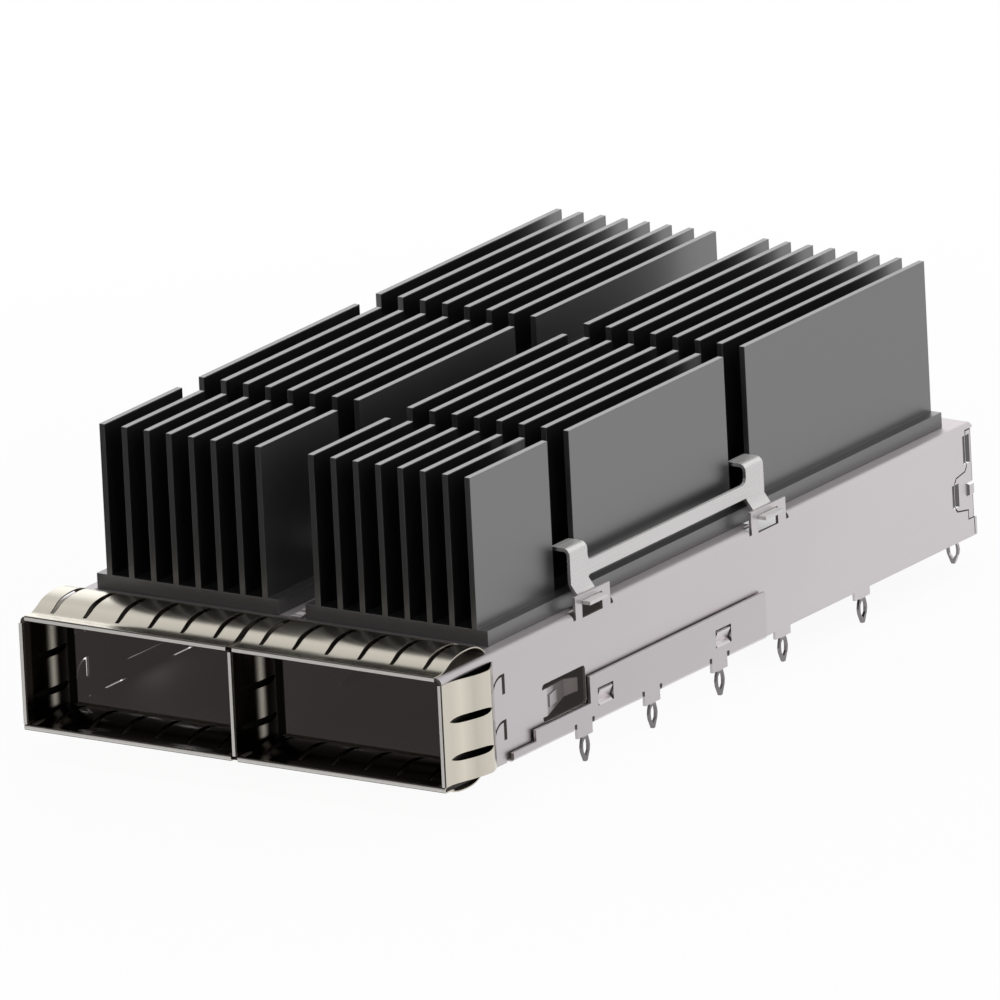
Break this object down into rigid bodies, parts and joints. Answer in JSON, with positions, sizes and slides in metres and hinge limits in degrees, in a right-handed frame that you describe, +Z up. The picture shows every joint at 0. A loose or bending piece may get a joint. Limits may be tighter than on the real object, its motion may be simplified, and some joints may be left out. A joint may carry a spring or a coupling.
{
  "type": "pluggable module cage",
  "caption": "Folded sheet metal cage for two pluggable modules side by side, with spring finger gaskets at the front, riding finned heat sinks, a hooked clip and press-fit pins.",
  "frame": {"origin": "middle of the cage on plan, at the height of the board pins' tips", "axes": "+X across the ports to the right as seen from the front, +Y from the front openings to the rear, +Z up away from the board"},
  "size_m": [0.0416, 0.0754, 0.0254],
  "materials": {
    "cage_sheet": "satin nickel silver sheet",
    "spring_strip": "tin plated spring alloy",
    "sink": "dark anodised",
    "clip_steel": "bright spring steel"
  },
  "bodies": {
    "cage": {"cage_cover": "cage_sheet", "cage_base": "cage_sheet", "rear_panel": "cage_sheet", "port_divider": "cage_sheet", "top_left_gasket": "spring_strip", "top_right_gasket": "spring_strip", "bottom_left_gasket": "spring_strip", "bottom_right_gasket": "spring_strip", "left_gasket": "spring_strip", "right_gasket": "spring_strip", "divider_gasket": "spring_strip", "heat_sink_clip": "clip_steel"},
    "left_sink": {"left_heat_sink": "sink"},
    "right_sink": {"right_heat_sink": "sink"}
  },
  "joints": [
    {"name": "left_sink_lift", "type": "slide", "parent": "cage", "child": "left_sink", "axis": [0, 0, 1], "range_m": [0, 0.00045], "stiffness_N_per_m": 2000, "springref_m": -0.01, "deforming": ["heat_sink_clip"]},
    {"name": "right_sink_lift", "type": "slide", "parent": "cage", "child": "right_sink", "axis": [0, 0, 1], "range_m": [0, 0.00045], "stiffness_N_per_m": 2000, "springref_m": -0.01, "deforming": ["heat_sink_clip"]}
  ]
}
